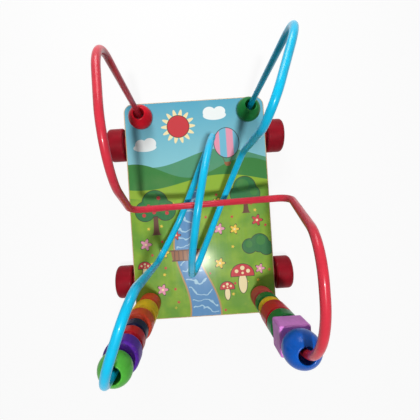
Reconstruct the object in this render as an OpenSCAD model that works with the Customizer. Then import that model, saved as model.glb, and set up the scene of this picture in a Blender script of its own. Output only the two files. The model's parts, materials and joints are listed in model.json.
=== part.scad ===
// Push-along bead maze: a printed board on four wheels with two bent wires and sixteen loose beads.
// +X is the board's width, +Y its length and rolling direction, +Z up.
// The origin lies on the floor under the middle of the board. All sizes are in millimetres.

/* [Board] */
// Width of the board, from wheel to wheel
board_w = 110; // [104:1:124]
// Length of the board
board_l = 170; // [160:1:190]
// Thickness of the board
board_t = 15; // [12:0.5:18]
// Radius of the board's corners, seen from above
board_corner_r = 7; // [5:0.5:12]
// Rounding of the board's edges
board_edge_r = 0.6; // [0.4:0.1:3]
// Thickness of the printed sheet glued on top
sheet_t = 0.4; // [0.2:0.1:0.8]
// Flat bare rim between the sheet and the rounding of the board's edge
sheet_rim = 0.2; // [0.1:0.1:2]
// Gap between a wire and the edge of its hole in the sheet
sheet_hole_play = 1; // [0.3:0.1:1.5]

/* [Wheels] */
// Diameter of a wheel
wheel_d = 26; // [22:0.5:32]
// Width of a wheel's tread
wheel_w = 13; // [11:0.5:16]
// Rounding of a wheel's outer edge
wheel_outer_edge_r = 3; // [1:0.5:4]
// Rounding of a wheel's inner edge
wheel_inner_edge_r = 1.5; // [0.5:0.5:3]
// Distance from the board's end to an axle
axle_inset = 30; // [24:1:36]
// Diameter of the hub boss that runs against the board
hub_d = 13; // [11:0.5:14]
// Height of the hub boss
hub_h = 1; // [0.5:0.1:2]
// Diameter of an axle peg's shank
peg_d = 6; // [5:0.5:7]
// Diameter of an axle peg's head
peg_head_d = 11; // [10:0.5:13]
// Thickness of an axle peg's head
peg_head_t = 3; // [2:0.5:3.5]
// Rounding of an axle peg's head
peg_head_edge_r = 1.2; // [0.5:0.1:1.5]
// Length of an axle peg inside the board
peg_seat = 22; // [16:1:26]
// Depth of the recess that hides a peg's head
wheel_recess = 4; // [3.5:0.5:5]

/* [Wires] */
// Diameter of a wire
wire_d = 4; // [3.5:0.1:4.5]
// Distance between the far wire holes across the board
far_hole_span = 81; // [76:1:86]
// Distance between the near wire holes across the board
near_hole_span = 86; // [80:1:88]
// Distance from the board's end to the wire holes
hole_inset = 14; // [12:0.5:18]
// Lean of the left-hand stack's leg towards the near end, in degrees
left_lean = 1.6; // [0:0.1:2.5]
// Lean of the right-hand stack's leg towards the near end, in degrees
right_lean = 1; // [0:0.1:2.5]
// Length of a wire's end inside the board
wire_seat = 11; // [8:0.5:12]
// Height of the far arches' bend points above the board
wire_h = 128; // [118:1:140]
// Bend radius of the red wire over the right-hand stack
red_near_bend_r = 33; // [26:1:34]
// Bend radius of the blue wire over the left-hand stack
blue_near_bend_r = 20; // [18:1:22]
// Straight wire above the middle of the left-hand stack's ball
left_arch_rise = 8; // [4:0.5:12]
// Bend radius of the far arches
far_bend_r = 27; // [22:1:29]
// Bend radius where a red arch turns into the crossing
knee_bend_r = 12; // [8:1:14]
// Bend radius of the dip in the red crossing
dip_bend_r = 56; // [40:1:64]
// Bend radius where the red wire drops from the near arch
red_drop_bend_r = 22; // [18:1:24]
// Bend radius where the blue wire drops from an arch
blue_drop_bend_r = 14; // [10:1:15]
// Bend radius at the foot of a drop
foot_bend_r = 16; // [10:1:18]
// Bend radius where the blue wire passes under the red crossing
pass_bend_r = 42; // [30:1:48]
// Bend radius at the two ends of the blue loop
loop_end_bend_r = 12; // [9:1:14]
// Bend radius at the top of the blue loop
loop_top_bend_r = 40; // [30:1:44]

/* [Beads] */
// Gap between a wire and a bead's bore, on the radius
bead_play = 2; // [1.7:0.1:2.4]
// Gap between neighbouring beads of a stack at rest
bead_gap = 0.3; // [0.2:0.1:0.6]
// Width of the flat ring round a ball's bore
ball_rim_w = 0.6; // [0.4:0.1:1]
// Rounding of a bore's mouth
mouth_edge_r = 0.7; // [0.3:0.1:1]
// Diameter of the two far end balls
end_ball_d = 18; // [16:0.5:20]
// Diameter of the green ball on the left-hand stack
green_ball_d = 16; // [15:0.1:18]
// Diameter of the blue ball on the right-hand stack
blue_ball_d = 18.6; // [17:0.1:20]
// Diameter of the two lowest barrel beads
low_barrel_d = 16.5; // [16:0.5:19]
// Diameter of the yellow barrel bead
high_barrel_d = 18; // [17:0.5:20]
// Length of a barrel bead
barrel_l = 19.5; // [18:0.5:21]
// Edge rounding of a barrel bead
barrel_edge_r = 3.4; // [2:0.1:3.5]
// Diameter of a drum bead
drum_d = 18; // [17:0.5:20]
// Length of a tall drum bead
tall_drum_l = 17; // [16:0.5:20]
// Length of a low drum bead
low_drum_l = 14.5; // [14:0.5:18]
// Edge rounding of a drum bead
drum_edge_r = 3.8; // [2:0.1:4]
// Diameter of a disc bead
disc_d = 16.5; // [16:0.5:18.5]
// Diameter of the small disc bead
small_disc_d = 15.5; // [15:0.5:17]
// Length of a thick disc bead
thick_disc_l = 12.5; // [11:0.5:15]
// Length of a thin disc bead
thin_disc_l = 10; // [9:0.5:12]
// Edge rounding of a disc bead
disc_edge_r = 2.6; // [1.5:0.1:3]
// Diameter of a tube bead
tube_d = 17.4; // [16:0.1:18.5]
// Length of the long tube bead
long_tube_l = 18.5; // [17:0.5:22]
// Length of the short tube bead
short_tube_l = 12; // [11:0.5:15]
// Edge rounding of a tube bead
tube_edge_r = 1.5; // [0.8:0.1:2.5]
// Side of the cube bead
cube_s = 16; // [15:0.5:18]
// Edge rounding of the cube bead
cube_edge_r = 1.2; // [0.6:0.1:2]

/* [Hidden] */
$fn = 96;

// Clearances shared by mating pieces, and the overrun of every cut
running_gap = 0.06;
side_play = 0.3;
glue_gap = 0.05;
overrun = 1;
bend_lap = 0.2;
bend_swell = 0.03;

// Paint and wood colours
wood_colour = [0.80, 0.66, 0.45];
print_colour = [0.42, 0.62, 0.20];
wheel_colour = [0.55, 0.09, 0.14];
red_wire_colour = [0.86, 0.25, 0.32];
blue_wire_colour = [0.02, 0.68, 0.92];
red_colour = [0.72, 0.12, 0.18];
dark_green_colour = [0.13, 0.43, 0.22];
orange_colour = [0.84, 0.29, 0.20];
yellow_colour = [0.90, 0.70, 0.18];
navy_colour = [0.07, 0.06, 0.24];
purple_colour = [0.37, 0.18, 0.62];
light_green_colour = [0.31, 0.66, 0.27];
rose_colour = [0.70, 0.27, 0.28];
lilac_colour = [0.80, 0.45, 0.78];
blue_colour = [0.02, 0.36, 0.72];

// Levels: the axles run through the middle of the board's thickness
axle_z = wheel_d / 2;
board_z = axle_z - board_t / 2;
deck_z = board_z + board_t + sheet_t;

// The sheet covers the flat of the board up to its rim
sheet_margin = board_edge_r + sheet_rim;

// Places of the wheels
axle_y = board_l / 2 - axle_inset;
hub_x = board_w / 2 + side_play;

// Wires and bores
wire_r = wire_d / 2;
bore_r = wire_r + bead_play;
far_hole_x = far_hole_span / 2;
near_hole_x = near_hole_span / 2;
hole_y = board_l / 2 - hole_inset;

// Half the length of a ball between the flat rings round its bore
function ball_half_l(d) = sqrt(pow(d / 2, 2) - pow(bore_r + ball_rim_w, 2));

// Height of a tilted ball's middle above the flat it rests on
function tilted_ball_z(d, tilt) = d / 2 * cos(max(0, acos(ball_half_l(d) / (d / 2)) - tilt)) + bead_gap;

// The two near stacks from the board up: diameter, length and edge rounding of each bead
left_stack = [
    [low_barrel_d, barrel_l, barrel_edge_r],
    [high_barrel_d, barrel_l, barrel_edge_r],
    [drum_d, tall_drum_l, drum_edge_r],
    [small_disc_d, thick_disc_l, disc_edge_r],
    [disc_d, thick_disc_l, disc_edge_r],
    [drum_d, low_drum_l, drum_edge_r]
];
right_stack = [
    [low_barrel_d, barrel_l, barrel_edge_r],
    [disc_d, thick_disc_l, disc_edge_r],
    [disc_d, thin_disc_l, disc_edge_r],
    [tube_d, long_tube_l, tube_edge_r],
    [tube_d, short_tube_l, tube_edge_r],
    [cube_s, cube_s, cube_edge_r]
];

// Distance along a leg from the board to the lower face of bead i, the lowest one resting on its edge
function bead_reach(stack, lean, i) =
    i == 0 ? ((stack[0][0] / 2 - stack[0][2]) * sin(lean) + bead_gap) / cos(lean)
    : bead_reach(stack, lean, i - 1) + stack[i - 1][1] + bead_gap;

// A top ball rests on its stack. The red arch springs from its ball's middle, the blue one higher up
green_ball_reach = bead_reach(left_stack, left_lean, len(left_stack)) + ball_half_l(green_ball_d);
blue_ball_reach = bead_reach(right_stack, right_lean, len(right_stack)) + ball_half_l(blue_ball_d);
left_arch_reach = green_ball_reach + left_arch_rise + blue_near_bend_r;
right_arch_reach = blue_ball_reach + red_near_bend_r;

// Bend points of the red wire from its far end to the near arch,
// as shares of the half hole spans and of the wires' height
red_bend_shares = [
    [-1.04, 1.07, 0.84],
    [-0.89, 0.17, 1.00],
    [-1.00, -0.02, 0.49],
    [0.04, 0.01, 0.33],
    [1.24, 0.00, 0.56]
];
red_bend_radii = [far_bend_r, far_bend_r, knee_bend_r, dip_bend_r, knee_bend_r];
red_arch_share = [0.98, -0.28];

// Bend points of the blue wire from its far end, round the red crossing, to the near arch
blue_bend_shares = [
    [1.24, 1.17, 0.84],
    [0.71, 0.38, 0.97],
    [0.71, 0.44, 0.39],
    [0.39, 0.04, 0.23],
    [-0.21, -0.68, 0.36],
    [-0.06, 0.02, 1.01],
    [0.28, 0.62, 0.42],
    [-0.35, -0.12, 0.23],
    [-0.74, -0.50, 0.30]
];
blue_bend_radii = [
    far_bend_r, blue_drop_bend_r, foot_bend_r, pass_bend_r, loop_end_bend_r,
    loop_top_bend_r, loop_end_bend_r, pass_bend_r, foot_bend_r
];
blue_arch_share = [-0.64, -0.49];

function bend_points(shares) = [for (s = shares) [s.x * far_hole_x, s.y * hole_y, deck_z + s.z * wire_h]];

red_far_hole = [-far_hole_x, hole_y, deck_z];
red_near_hole = [near_hole_x, -hole_y, deck_z];
blue_far_hole = [far_hole_x, hole_y, deck_z];
blue_near_hole = [-near_hole_x, -hole_y, deck_z];

// Directions of the legs, from the board up
function unit(v) = v / norm(v);
function leaning_leg(lean) = [0, -sin(lean), cos(lean)];
red_far_leg = unit(bend_points(red_bend_shares)[0] - red_far_hole);
blue_far_leg = unit(bend_points(blue_bend_shares)[0] - blue_far_hole);
red_near_leg = leaning_leg(right_lean);
blue_near_leg = leaning_leg(left_lean);

// Two corners of a near arch: its top run meets the leg at a right angle
function arch_corners(hole, leg, reach, share) =
    let (
        corner = hole + leg * reach,
        run = [share.x * near_hole_x - corner.x, share.y * hole_y - corner.y],
        rise = -(run.x * leg.x + run.y * leg.y) / leg.z
    )
    [corner + [run.x, run.y, rise], corner];

red_corners = concat(
    bend_points(red_bend_shares),
    arch_corners(red_near_hole, red_near_leg, right_arch_reach, red_arch_share)
);
red_radii = concat(red_bend_radii, [red_drop_bend_r, red_near_bend_r]);
blue_corners = concat(
    bend_points(blue_bend_shares),
    arch_corners(blue_near_hole, blue_near_leg, left_arch_reach, blue_arch_share)
);
blue_radii = concat(blue_bend_radii, [blue_drop_bend_r, blue_near_bend_r]);

// Each wire runs from the bottom of one hole to the bottom of the other
red_path = concat(
    [red_far_hole - wire_seat * red_far_leg], red_corners, [red_near_hole - wire_seat * red_near_leg]
);
blue_path = concat(
    [blue_far_hole - wire_seat * blue_far_leg], blue_corners, [blue_near_hole - wire_seat * blue_near_leg]
);

// Legs as hole and direction, in one list for the board and the sheet
legs = [
    [red_far_hole, red_far_leg], [red_near_hole, red_near_leg],
    [blue_far_hole, blue_far_leg], [blue_near_hole, blue_near_leg]
];

// Distance along a leaning leg from the board to the middle of its end ball
function end_ball_reach(leg) = tilted_ball_z(end_ball_d, acos(leg.z)) / leg.z;

// Turns +Z into a direction, at a point
module along(point, direction) {
    translate(point)
        rotate([0, acos(direction.z), atan2(direction.y, direction.x)])
            children();
}

// Angle through which a path turns at corner i, and the length that a bend takes from each side
function turn_at(path, i) = acos(unit(path[i] - path[i - 1]) * unit(path[i + 1] - path[i]));
function bend_cut(path, radii, i) =
    i == 0 || i == len(path) - 1 ? 0 : radii[i - 1] * tan(turn_at(path, i) / 2);

// Round wire bent along a path: straight runs lapped into true arcs that are a hair thicker
module bent_wire(path, radii) {
    for (i = [0 : len(path) - 2]) {
        run = unit(path[i + 1] - path[i]);
        start = path[i] + run * (bend_cut(path, radii, i) - (i == 0 ? 0 : bend_lap));
        length = norm(path[i + 1] - start) - bend_cut(path, radii, i + 1);
        along(start, run)
            cylinder(h = length + (i == len(path) - 2 ? 0 : bend_lap), r = wire_r);
    }
    for (i = [1 : len(path) - 2]) {
        inward = unit(path[i] - path[i - 1]);
        outward = unit(path[i + 1] - path[i]);
        start = path[i] - inward * bend_cut(path, radii, i);
        spoke = unit(inward * (inward * outward) - outward);
        axis = cross(spoke, inward);
        centre = start - spoke * radii[i - 1];
        multmatrix([
            [spoke.x, inward.x, axis.x, centre.x],
            [spoke.y, inward.y, axis.y, centre.y],
            [spoke.z, inward.z, axis.z, centre.z]
        ])
            rotate_extrude(angle = turn_at(path, i))
                translate([radii[i - 1], 0])
                    circle(r = wire_r + bend_swell);
    }
}

// Rectangle from the origin with its two right-hand corners rounded
module round_nose(length, height, r) {
    square([length - r, height]);
    translate([length - r, r])
        square([r, height - 2 * r]);
    for (y = [r, height - r])
        translate([length - r, y])
            circle(r = r);
}

// Slab with rounded corners and edges: a middle, two end strips and four quarter-round corners
module rounded_slab(w, l, t, corner_r, edge_r) {
    for (side = [0, 1])
        mirror([side, 0, 0])
            translate([0, l / 2 - corner_r, 0])
                rotate([90, 0, 0])
                    linear_extrude(l - 2 * corner_r)
                        round_nose(w / 2, t, edge_r);
    for (end = [0, 1])
        mirror([0, end, 0]) {
            translate([corner_r - w / 2, l / 2 - corner_r, 0])
                rotate([90, 0, 90])
                    linear_extrude(w - 2 * corner_r)
                        round_nose(corner_r, t, edge_r);
            for (side = [0, 1])
                mirror([side, 0, 0])
                    translate([w / 2 - corner_r, l / 2 - corner_r, 0])
                        rotate_extrude(angle = 90)
                            round_nose(corner_r, t, edge_r);
        }
}

// Seen from above: rectangle with round corners
module round_rectangle(w, l, r) {
    square([w - 2 * r, l], center = true);
    square([w, l - 2 * r], center = true);
    for (x = [-1, 1], y = [-1, 1])
        translate([x * (w / 2 - r), y * (l / 2 - r)])
            circle(r = r);
}

// Board with four glued wire holes and four blind peg holes in its long edges
module board() {
    color(wood_colour)
        difference() {
            translate([0, 0, board_z])
                rounded_slab(board_w, board_l, board_t, board_corner_r, board_edge_r);
            for (leg = legs)
                along(leg[0] - wire_seat * leg[1], leg[1])
                    cylinder(h = wire_seat + overrun, r = wire_r + glue_gap);
            for (side = [-1, 1], end = [-1, 1])
                along([side * (board_w / 2 - peg_seat), end * axle_y, axle_z], [side, 0, 0])
                    cylinder(h = peg_seat + overrun, r = peg_d / 2 + glue_gap);
        }
}

// Thin printed sheet, glued on the board and punched round the wires
module printed_sheet() {
    color(print_colour)
        translate([0, 0, board_z + board_t])
            linear_extrude(sheet_t)
                difference() {
                    round_rectangle(
                        board_w - 2 * sheet_margin, board_l - 2 * sheet_margin, board_corner_r - sheet_margin
                    );
                    for (leg = legs)
                        translate([leg[0].x, leg[0].y])
                            circle(r = wire_r + sheet_hole_play);
                }
}

module red_wire() {
    color(red_wire_colour) bent_wire(red_path, red_radii);
}

module blue_wire() {
    color(blue_wire_colour) bent_wire(blue_path, blue_radii);
}

// Places a wheel or peg, modelled on +Z with the board below, on one side and end of the board
module at_axle(side, end) {
    translate([side * hub_x, end * axle_y, axle_z])
        rotate([0, side * 90, 0])
            children();
}

// Turned wheel with a hub boss, a bore for the peg and a recess for its head
module wheel(side, end) {
    color(wheel_colour)
        at_axle(side, end)
            difference() {
                union() {
                    cylinder(h = hub_h + overrun, d = hub_d);
                    translate([0, 0, hub_h])
                        rotate_extrude()
                            wheel_profile();
                }
                translate([0, 0, -overrun])
                    cylinder(h = wheel_w + hub_h + 2 * overrun, r = peg_d / 2 + running_gap);
                translate([0, 0, hub_h + wheel_w - wheel_recess])
                    cylinder(h = wheel_recess + overrun, r = peg_head_d / 2 + side_play);
            }
}

// Half section of the tread: the inner edge lies at the bottom
module wheel_profile() {
    r = wheel_d / 2;
    square([r - wheel_outer_edge_r, wheel_w]);
    translate([0, wheel_inner_edge_r])
        square([r, wheel_w - wheel_inner_edge_r - wheel_outer_edge_r]);
    square([r - wheel_inner_edge_r, wheel_inner_edge_r]);
    translate([r - wheel_inner_edge_r, wheel_inner_edge_r])
        circle(r = wheel_inner_edge_r);
    translate([r - wheel_outer_edge_r, wheel_w - wheel_outer_edge_r])
        circle(r = wheel_outer_edge_r);
}

// Headed peg: its shank is glued in the board, and its head keeps the wheel on
module axle_peg(side, end) {
    shank_l = peg_seat + side_play + hub_h + wheel_w - wheel_recess + side_play;
    color(wood_colour)
        at_axle(side, end)
            translate([0, 0, -peg_seat - side_play]) {
                cylinder(h = shank_l, r = peg_d / 2);
                translate([0, 0, shank_l])
                    rotate_extrude()
                        peg_head_profile();
            }
}

// Half section of a peg's head, rounded on its outer face
module peg_head_profile() {
    r = peg_head_d / 2;
    square([r, peg_head_t - peg_head_edge_r]);
    square([r - peg_head_edge_r, peg_head_t]);
    translate([r - peg_head_edge_r, peg_head_t - peg_head_edge_r])
        circle(r = peg_head_edge_r);
}

// Ball with a bore and a flat ring round each mouth, its middle at the origin
module ball_bead(d) {
    half_l = ball_half_l(d);
    difference() {
        intersection() {
            sphere(d = d);
            cylinder(h = 2 * half_l, d = d + overrun, center = true);
        }
        cylinder(h = d + overrun, r = bore_r, center = true);
    }
}

// Turned bead with rounded edges and rounded bore mouths, standing on the origin
module turned_bead(d, l, edge_r) {
    rotate_extrude()
        difference() {
            round_nose(d / 2, l, edge_r);
            translate([0, -overrun])
                square([bore_r, l + 2 * overrun]);
            mouth_flare();
            translate([0, l])
                mirror([0, 1])
                    mouth_flare();
        }
}

// What a rounded bore mouth takes off the lower face
module mouth_flare() {
    difference() {
        translate([0, -overrun])
            square([bore_r + mouth_edge_r, mouth_edge_r + overrun]);
        translate([bore_r + mouth_edge_r, mouth_edge_r])
            circle(r = mouth_edge_r);
    }
}

// Cube bead with rounded edges, standing on the origin
module cube_bead(s, edge_r) {
    translate([0, 0, s / 2])
        difference() {
            intersection_for (turn = [[0, 0, 0], [90, 0, 0], [0, 90, 0]])
                rotate(turn)
                    linear_extrude(s, center = true)
                        round_rectangle(s, s, edge_r);
            cylinder(h = s + overrun, r = bore_r, center = true);
        }
}

// Places a bead modelled on +Z at a distance along a leg that leans towards the near end
module on_near_leg(hole, lean, reach) {
    translate(hole + leaning_leg(lean) * reach)
        rotate([lean, 0, 0])
            children();
}

// Ball that rests on the board round a leaning leg
module end_ball(hole, leg) {
    along(hole + leg * end_ball_reach(leg), leg) ball_bead(end_ball_d);
}

module red_end_ball() {
    color(red_colour) end_ball(red_far_hole, red_far_leg);
}

module green_end_ball() {
    color(dark_green_colour) end_ball(blue_far_hole, blue_far_leg);
}

// Bead i of the left-hand stack, counted from the board
module left_bead(i, colour) {
    color(colour)
        on_near_leg(blue_near_hole, left_lean, bead_reach(left_stack, left_lean, i))
            turned_bead(left_stack[i][0], left_stack[i][1], left_stack[i][2]);
}

module left_ball() {
    color(light_green_colour)
        on_near_leg(blue_near_hole, left_lean, green_ball_reach)
            ball_bead(green_ball_d);
}

// Bead i of the right-hand stack, counted from the board
module right_bead(i, colour) {
    color(colour)
        on_near_leg(red_near_hole, right_lean, bead_reach(right_stack, right_lean, i))
            turned_bead(right_stack[i][0], right_stack[i][1], right_stack[i][2]);
}

module right_cube() {
    top = len(right_stack) - 1;
    color(lilac_colour)
        on_near_leg(red_near_hole, right_lean, bead_reach(right_stack, right_lean, top))
            cube_bead(cube_s, cube_edge_r);
}

module right_ball() {
    color(blue_colour)
        on_near_leg(red_near_hole, right_lean, blue_ball_reach)
            ball_bead(blue_ball_d);
}

board();
printed_sheet();
red_wire();
blue_wire();
wheel(-1, -1);  // rear_left_wheel
wheel(1, -1);  // rear_right_wheel
wheel(-1, 1);  // front_left_wheel
wheel(1, 1);  // front_right_wheel
axle_peg(-1, -1);  // rear_left_axle_peg
axle_peg(1, -1);  // rear_right_axle_peg
axle_peg(-1, 1);  // front_left_axle_peg
axle_peg(1, 1);  // front_right_axle_peg
red_end_ball();
green_end_ball();
left_bead(0, orange_colour);  // left_bead_1_orange
left_bead(1, yellow_colour);  // left_bead_2_yellow
left_bead(2, orange_colour);  // left_bead_3_orange
left_bead(3, navy_colour);  // left_bead_4_navy
left_bead(4, red_colour);  // left_bead_5_red
left_bead(5, purple_colour);  // left_bead_6_purple
left_ball();  // left_bead_7_green_ball
right_bead(0, rose_colour);  // right_bead_1_rose
right_bead(1, dark_green_colour);  // right_bead_2_green
right_bead(2, yellow_colour);  // right_bead_3_yellow
right_bead(3, red_colour);  // right_bead_4_red
right_bead(4, dark_green_colour);  // right_bead_5_green
right_cube();  // right_bead_6_lilac_cube
right_ball();  // right_bead_7_blue_ball
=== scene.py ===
import json
from math import ceil, pi, radians, sqrt, tan

import bmesh
import bpy
from mathutils import Color, Matrix, Vector


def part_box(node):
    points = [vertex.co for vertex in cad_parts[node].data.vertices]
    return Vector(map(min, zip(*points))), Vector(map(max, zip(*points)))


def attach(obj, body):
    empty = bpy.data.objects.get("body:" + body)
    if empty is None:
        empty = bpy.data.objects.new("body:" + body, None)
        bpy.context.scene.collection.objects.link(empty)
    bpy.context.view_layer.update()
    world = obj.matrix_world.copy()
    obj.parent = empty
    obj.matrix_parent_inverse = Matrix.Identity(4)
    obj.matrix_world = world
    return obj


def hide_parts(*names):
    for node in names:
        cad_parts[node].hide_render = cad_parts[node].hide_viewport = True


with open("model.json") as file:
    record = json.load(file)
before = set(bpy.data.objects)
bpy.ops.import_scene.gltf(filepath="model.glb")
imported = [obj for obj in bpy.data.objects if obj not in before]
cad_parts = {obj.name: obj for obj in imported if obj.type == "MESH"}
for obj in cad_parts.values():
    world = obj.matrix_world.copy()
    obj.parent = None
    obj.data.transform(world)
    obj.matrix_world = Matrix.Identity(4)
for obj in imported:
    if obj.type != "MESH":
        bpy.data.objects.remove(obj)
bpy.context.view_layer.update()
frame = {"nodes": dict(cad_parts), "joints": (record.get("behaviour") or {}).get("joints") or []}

# Board: a thick plywood board with rounded corners, sanded and brushed with clear varnish.
# Its sawn edges show the plies. The picture sheet is glued on it, and the wires and pegs into it.
board_low, board_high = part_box("board")
mm_per_metre = 1000.0
most_noise = (0.3, 0.7)


def paint_colour(red, green, blue):
    """A colour given as it looks on screen, from 0 to 255, as linear light."""
    seen = Color((red / 255, green / 255, blue / 255))
    return (*seen.from_srgb_to_scene_linear(), 1.0)


def add_node(tree, kind, sockets=None, **settings):
    """Adds a node. A socket given as a value links to it, and anything else sets it."""
    made = tree.nodes.new(kind)
    for name, value in settings.items():
        setattr(made, name, value)
    for name, value in (sockets or {}).items():
        if isinstance(value, bpy.types.NodeSocket):
            tree.links.new(value, made.inputs[name])
        else:
            made.inputs[name].default_value = value
    return made


def start_finish(name):
    """A new material with its node tree and its surface node."""
    material = bpy.data.materials.new(name)
    material.use_nodes = True
    return material, material.node_tree, material.node_tree.nodes["Principled BSDF"]


def in_millimetres(tree, vector):
    scaled = add_node(tree, "ShaderNodeVectorMath", {0: vector, "Scale": mm_per_metre}, operation="SCALE")
    return scaled.outputs[0]


def place_on_toy(tree):
    """Where a point lies in the toy's own frame, in millimetres."""
    return in_millimetres(tree, add_node(tree, "ShaderNodeTexCoord").outputs["Object"])


def speckle(tree, vector, per_mm, detail, stretch=(1.0, 1.0, 1.0)):
    """Noise from 0 to 1 with so many grains to the millimetre, drawn out along the axes."""
    drawn_out = add_node(tree, "ShaderNodeMapping", {"Vector": vector, "Scale": stretch}).outputs[0]
    sockets = {"Vector": drawn_out, "Scale": per_mm, "Detail": detail}
    return add_node(tree, "ShaderNodeTexNoise", sockets).outputs["Fac"]


def spread(tree, value, low, high, span=(0.0, 1.0)):
    """Moves a value from its span to the range from low to high, and keeps it there."""
    sockets = {"Value": value, "From Min": span[0], "From Max": span[1], "To Min": low, "To Max": high}
    return add_node(tree, "ShaderNodeMapRange", sockets).outputs["Result"]


def blend_colours(tree, factor, first, second, way="MIX"):
    """Mixes two colours, through the sockets that the node keeps for colours."""
    sockets = {"Factor": factor, 6: first, 7: second}
    return add_node(tree, "ShaderNodeMix", sockets, data_type="RGBA", blend_type=way).outputs[2]


def lay_finish(tree, finish, colour, roughness, specular=0.5, coat=0.0, coat_roughness=0.0):
    """Gives a surface its colour and roughness, and sets how it and its clear coat shine."""
    tree.links.new(colour, finish.inputs["Base Color"])
    tree.links.new(roughness, finish.inputs["Roughness"])
    finish.inputs["Specular IOR Level"].default_value = specular
    finish.inputs["Coat Weight"].default_value = coat
    finish.inputs["Coat Roughness"].default_value = coat_roughness


def raise_surface(tree, finish, height, strength, depth_mm):
    """Gives a surface its fine relief."""
    sockets = {"Height": height, "Strength": strength, "Distance": depth_mm / mm_per_metre}
    tree.links.new(add_node(tree, "ShaderNodeBump", sockets).outputs[0], finish.inputs["Normal"])


pale_birch = paint_colour(222, 190, 142)
warm_birch = paint_colour(186, 146, 98)
cross_ply = paint_colour(160, 118, 76)
glue_line = paint_colour(96, 66, 42)
ply_start_shares = (
    (0.00, pale_birch), (0.19, glue_line), (0.22, cross_ply), (0.40, glue_line), (0.43, pale_birch),
    (0.58, glue_line), (0.61, cross_ply), (0.78, glue_line), (0.81, pale_birch),
)
ply_strength = 0.5
grain_along_board = (1.0, 0.05, 1.0)
pores_along_board = (1.0, 0.08, 1.0)
pore_span = (0.58, 0.75)
pore_strength = 0.5
face_span = (0.6, 0.8)
varnish_roughness = (0.38, 0.55)

plywood, tree, finish = start_finish("varnished_plywood")
place = place_on_toy(tree)
long_grain = speckle(tree, place, per_mm=0.9, detail=5.0, stretch=grain_along_board)
pores = speckle(tree, place, per_mm=3.2, detail=2.0, stretch=pores_along_board)
face_wood = blend_colours(tree, spread(tree, long_grain, 0.0, 1.0, most_noise), pale_birch, warm_birch)

# Plies and glue lines on the sawn edges, told from the faces by the way that the surface points
height = add_node(tree, "ShaderNodeSeparateXYZ", {0: place}).outputs["Z"]
thickness = (board_low.z * mm_per_metre, board_high.z * mm_per_metre)
plies = add_node(tree, "ShaderNodeValToRGB", {"Fac": spread(tree, height, 0.0, 1.0, thickness)})
plies.color_ramp.interpolation = "CONSTANT"
bands = plies.color_ramp.elements
bands.remove(bands[-1])
bands[0].color = ply_start_shares[0][1]
for start, colour in ply_start_shares[1:]:
    bands.new(start).color = colour
edge_wood = blend_colours(tree, ply_strength, plies.outputs["Color"], face_wood, "MULTIPLY")
facing = add_node(tree, "ShaderNodeNewGeometry").outputs["Normal"]
upright = add_node(tree, "ShaderNodeSeparateXYZ", {0: facing}).outputs["Z"]
flatness = add_node(tree, "ShaderNodeMath", {0: upright}, operation="ABSOLUTE").outputs[0]
wood = blend_colours(tree, spread(tree, flatness, 0.0, 1.0, face_span), edge_wood, face_wood)
wood = blend_colours(tree, spread(tree, pores, 0.0, pore_strength, pore_span), wood, warm_birch)
roughness = spread(tree, long_grain, *varnish_roughness, most_noise)
lay_finish(tree, finish, wood, roughness, coat=0.3, coat_roughness=0.25)
raise_surface(tree, finish, long_grain, strength=0.35, depth_mm=0.12)
frame["nodes"]["board"].material_slots[0].material = plywood

# Picture sheet: a paper print under gloss film, glued on the board and punched round the four wires.
# The picture is a plain landscape of hills, a stream, trees, mushrooms and flowers in flat inks.
# Its places and sizes are in millimetres, from the middle of the board.
ink_edge = 0.12
line_w = 0.5
line_ink = paint_colour(44, 40, 22)
grass_green = paint_colour(96, 146, 18)
lime_green = paint_colour(138, 172, 28)
hill_green = paint_colour(52, 120, 44)
far_hill_green = paint_colour(76, 142, 104)
leaf_green = paint_colour(36, 106, 48)
sky_blue = paint_colour(84, 162, 188)
haze_blue = paint_colour(134, 196, 206)
stream_blue = paint_colour(88, 138, 186)
ripple_blue = paint_colour(168, 204, 222)
balloon_blue = paint_colour(112, 182, 206)
bank_tan = paint_colour(178, 142, 84)
trunk_brown = paint_colour(98, 54, 32)
plank_brown = paint_colour(146, 92, 52)
cap_red = paint_colour(196, 46, 52)
cream = paint_colour(240, 222, 170)
cloud_white = paint_colour(236, 240, 238)
petal_pink = paint_colour(226, 148, 170)
petal_yellow = paint_colour(236, 196, 62)

print_film, tree, finish = start_finish("gloss_landscape_print")
flat = add_node(
    tree, "ShaderNodeVectorMath", {0: place_on_toy(tree), 1: (1.0, 1.0, 0.0)}, operation="MULTIPLY"
).outputs[0]


class Drawn:
    """A number with its own value at each point of the sheet, so that a motif is drawn in plain sums."""

    def __init__(self, socket):
        self.socket = socket

    def __add__(self, other):
        return work_out("ADD", self, other)

    def __sub__(self, other):
        return work_out("SUBTRACT", self, other)

    def __rsub__(self, other):
        return work_out("SUBTRACT", other, self)

    def __mul__(self, other):
        return work_out("MULTIPLY", self, other)

    def __truediv__(self, other):
        return work_out("DIVIDE", self, other)

    def __rtruediv__(self, other):
        return work_out("DIVIDE", other, self)

    def __abs__(self):
        return work_out("ABSOLUTE", self)


def work_out(operation, *terms):
    """Works a sum out at each point of the sheet."""
    sockets = {index: getattr(term, "socket", term) for index, term in enumerate(terms)}
    return Drawn(add_node(tree, "ShaderNodeMath", sockets, operation=operation).outputs[0])


def wave(value):
    return work_out("SINE", value)


def printed_where(distance, soft=ink_edge):
    """1 where a distance is under zero, with a soft edge."""
    return Drawn(spread(tree, distance.socket, 1.0, 0.0, (-soft, soft)))


def reach_of(vector):
    return Drawn(add_node(tree, "ShaderNodeVectorMath", {0: vector}, operation="LENGTH").outputs["Value"])


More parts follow.
